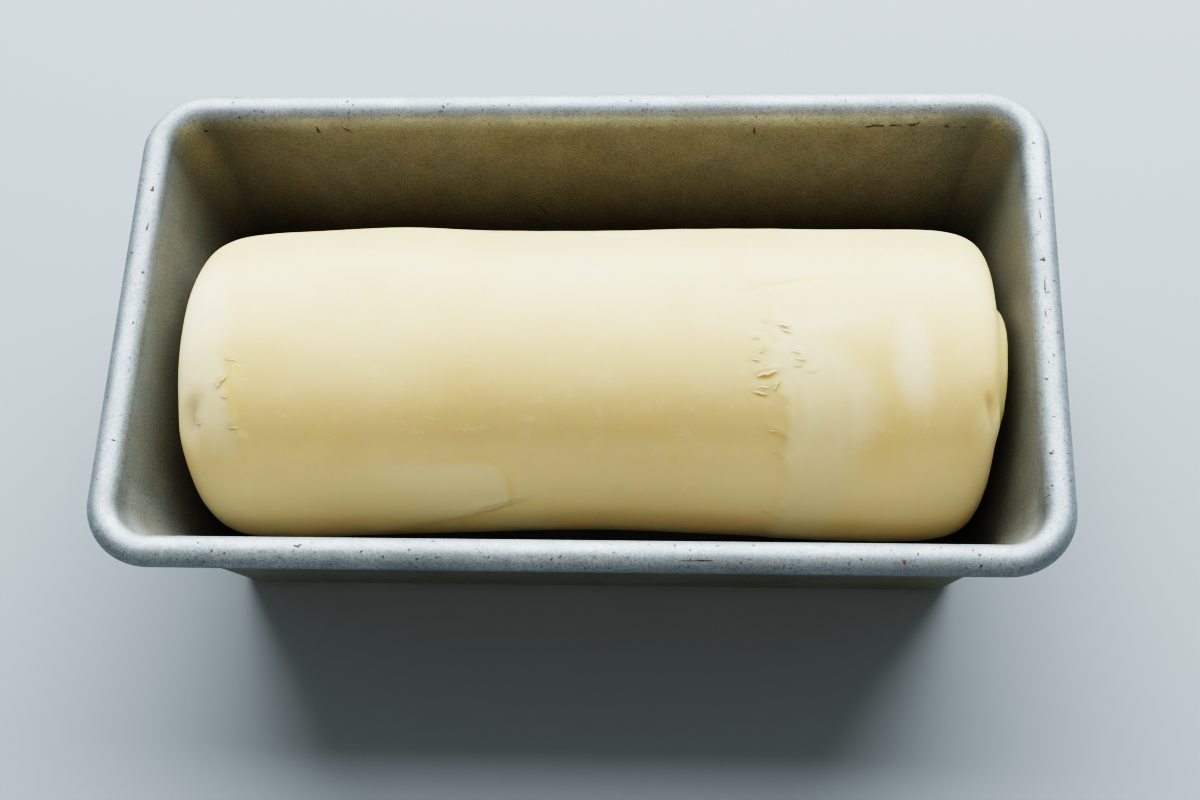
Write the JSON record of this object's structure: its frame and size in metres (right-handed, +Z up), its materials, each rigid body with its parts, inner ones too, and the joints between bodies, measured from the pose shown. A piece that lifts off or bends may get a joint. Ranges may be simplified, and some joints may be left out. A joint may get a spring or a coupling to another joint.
{
  "type": "croissant bread dough in a loaf tin",
  "caption": "Long blunt-ended log of raw croissant bread dough, rolled up and laid in a leaning-walled metal loaf tin with a thick rolled rim.",
  "frame": {"origin": "middle of the tin's flat underside, on the surface it stands on", "axes": "+X along the loaf to the right seen from the front, +Y to the back, +Z up"},
  "size_m": [0.231, 0.129, 0.0733],
  "materials": {
    "tin_metal": "matt aluminised steel, silver-grey, finely speckled and lightly scratched on the rim",
    "raw_dough": "smooth raw laminated dough, pale cream-yellow with a soft sheen and whiter patches of butter and flour"
  },
  "bodies": {
    "root": {"loaf_tin": "tin_metal", "dough_log": "raw_dough"}
  },
  "joints": []
}
